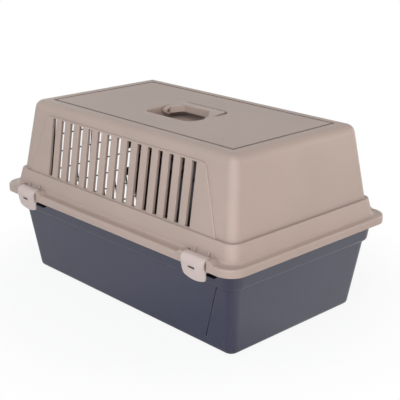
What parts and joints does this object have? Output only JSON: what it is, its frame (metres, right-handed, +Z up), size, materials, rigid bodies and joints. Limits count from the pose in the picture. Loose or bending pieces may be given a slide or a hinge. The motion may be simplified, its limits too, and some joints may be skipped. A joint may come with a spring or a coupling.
{
  "type": "pet carrier",
  "caption": "Rigid plastic pet carrier: ribbed-vent hood clipped onto a deep tray, folding top handle and a bent wire end door with a sprung double latch.",
  "frame": {"origin": "centre of the underside's rectangle, on the surface it rests on", "axes": "+Z up, +X along the long side towards the closed end, so the door is at -X; +Y towards the long side that the handle folds to"},
  "size_m": [0.5, 0.3264, 0.2706],
  "materials": {
    "hood_plastic": "warm taupe moulded polypropylene, fine satin grain",
    "clip_plastic": "pale taupe moulded polypropylene, satin",
    "tray_plastic": "dark slate grey moulded polypropylene, satin",
    "door_wire": "black coated steel wire",
    "latch_plastic": "black moulded plastic",
    "spring_steel": "bare spring wire"
  },
  "bodies": {
    "shell": {"tray": "tray_plastic", "hood": "hood_plastic"},
    "clip_front_right": {"clip_front_right": "clip_plastic"},
    "clip_front_left": {"clip_front_left": "clip_plastic"},
    "clip_rear_right": {"clip_rear_right": "clip_plastic"},
    "clip_rear_left": {"clip_rear_left": "clip_plastic"},
    "handle": {"handle": "hood_plastic", "handle_pin_door_end": "hood_plastic", "handle_pin_closed_end": "hood_plastic"},
    "door": {"door_hinge_rod": "door_wire", "door_free_rod": "door_wire", "door_top_rail": "door_wire", "door_bottom_rail": "door_wire", "door_cross_wires": "door_wire", "door_upright_wires": "door_wire", "latch_guides": "door_wire", "upper_spring": "spring_steel", "lower_spring": "spring_steel"},
    "upper_bolt": {"upper_bolt": "door_wire", "upper_collar": "door_wire", "upper_pull": "latch_plastic"},
    "lower_bolt": {"lower_bolt": "door_wire", "lower_collar": "door_wire", "lower_pull": "latch_plastic"}
  },
  "joints": [
    {"name": "clip_front_right_hinge", "type": "hinge", "parent": "shell", "child": "clip_front_right", "pos_m": [0.184, -0.15005, 0.1403], "axis": [-1, 0, 0], "range_deg": [0, 80]},
    {"name": "clip_front_left_hinge", "type": "hinge", "parent": "shell", "child": "clip_front_left", "pos_m": [-0.184, -0.15005, 0.1403], "axis": [-1, 0, 0], "range_deg": [0, 80]},
    {"name": "clip_rear_right_hinge", "type": "hinge", "parent": "shell", "child": "clip_rear_right", "pos_m": [0.184, 0.15005, 0.1403], "axis": [1, 0, 0], "range_deg": [0, 80]},
    {"name": "clip_rear_left_hinge", "type": "hinge", "parent": "shell", "child": "clip_rear_left", "pos_m": [-0.184, 0.15005, 0.1403], "axis": [1, 0, 0], "range_deg": [0, 80]},
    {"name": "handle_fold", "type": "hinge", "parent": "shell", "child": "handle", "pos_m": [0.0015, -0.002, 0.2622], "axis": [1, 0, 0], "range_deg": [0, 180]},
    {"name": "door_swing", "type": "hinge", "parent": "shell", "child": "door", "pos_m": [-0.22603, -0.083, 0.134], "axis": [0, 0, 1], "range_deg": [0, 100]},
    {"name": "upper_bolt_slide", "type": "slide", "parent": "door", "child": "upper_bolt", "axis": [-0.1474, 0, -0.9891], "range_m": [0, 0.008], "stiffness_N_per_m": 250, "springref_m": -0.004, "deforming": ["upper_spring"]},
    {"name": "lower_bolt_slide", "type": "slide", "parent": "door", "child": "lower_bolt", "axis": [-0.1377, 0, 0.9905], "range_m": [0, 0.008], "stiffness_N_per_m": 250, "springref_m": -0.004, "deforming": ["lower_spring"]}
  ]
}
